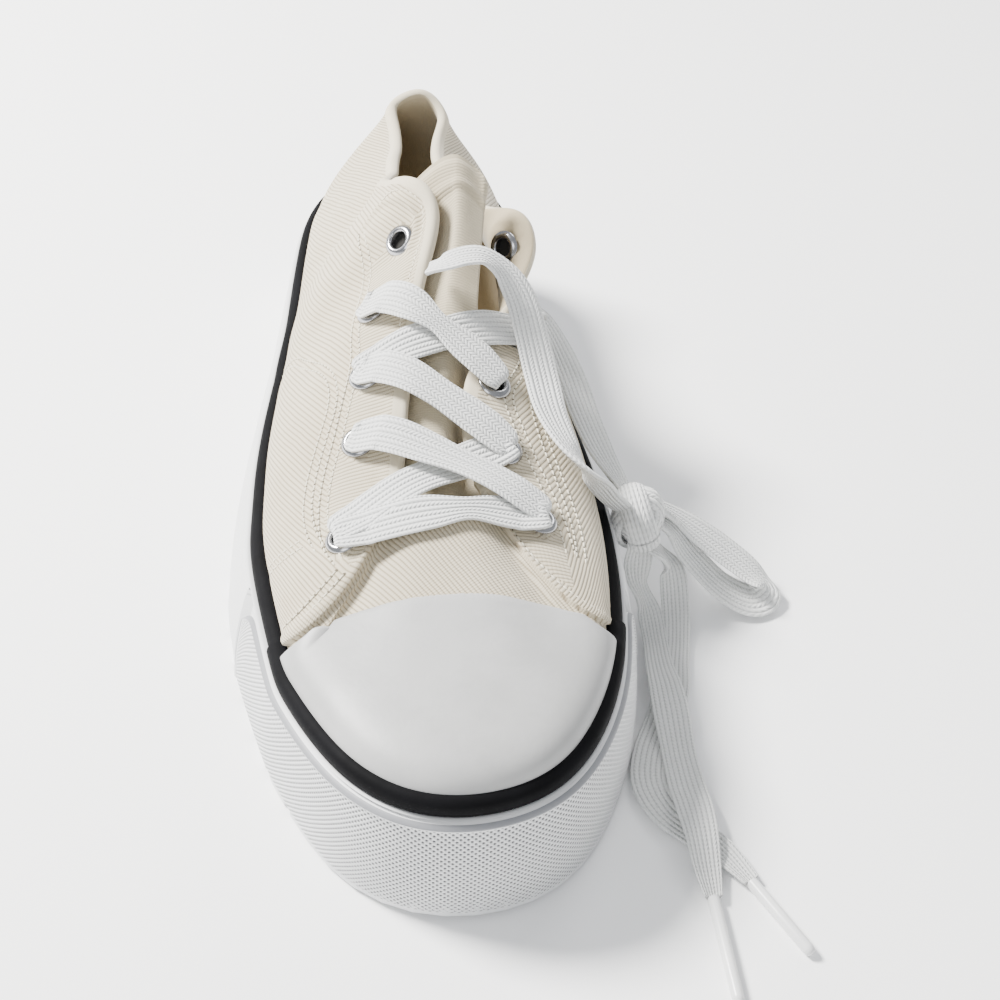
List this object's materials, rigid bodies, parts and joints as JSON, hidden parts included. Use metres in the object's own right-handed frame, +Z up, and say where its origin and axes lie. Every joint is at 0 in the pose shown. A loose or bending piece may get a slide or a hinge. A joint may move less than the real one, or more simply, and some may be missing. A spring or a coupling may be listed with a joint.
{
  "type": "canvas sneaker",
  "caption": "Low lace-up canvas shoe with an open collar, a padded tongue, metal eyelets, a loose lace tied at the side, a rubber toe cap and a thick rubber platform sole.",
  "frame": {"origin": "on the floor, under the centre of the heel, on the flat of the tread there", "axes": "-Y points from the heel to the toe along the foot, +X to the inner side of the foot, +Z up"},
  "size_m": [0.1449, 0.2988, 0.0936],
  "materials": {
    "canvas": "woven, matte",
    "lining": "woven, matte",
    "white_rubber": "satin",
    "black_rubber": "satin",
    "foam": "matte",
    "nickel": "bright plated",
    "lace": "woven, matte",
    "lace_tip": "glossy"
  },
  "bodies": {
    "root": {"outsole": "white_rubber", "midsole": "foam", "insole": "lining", "foxing": "white_rubber", "toe_bumper": "white_rubber", "side_stripe": "black_rubber", "toe_stripe": "black_rubber", "upper": "canvas", "toe_cap": "white_rubber", "tongue": "canvas", "eyelet_outer_1": "nickel", "eyelet_outer_2": "nickel", "eyelet_outer_3": "nickel", "eyelet_outer_4": "nickel", "eyelet_outer_5": "nickel", "eyelet_inner_1": "nickel", "eyelet_inner_2": "nickel", "eyelet_inner_3": "nickel", "eyelet_inner_4": "nickel", "eyelet_inner_5": "nickel", "lace_crossings": "lace", "lace_lead_front": "lace", "lace_lead_rear": "lace", "lace_knot": "lace", "lace_loop": "lace", "lace_end_long": "lace", "lace_end_short": "lace", "lace_tip_long": "lace_tip", "lace_tip_short": "lace_tip"}
  },
  "joints": []
}
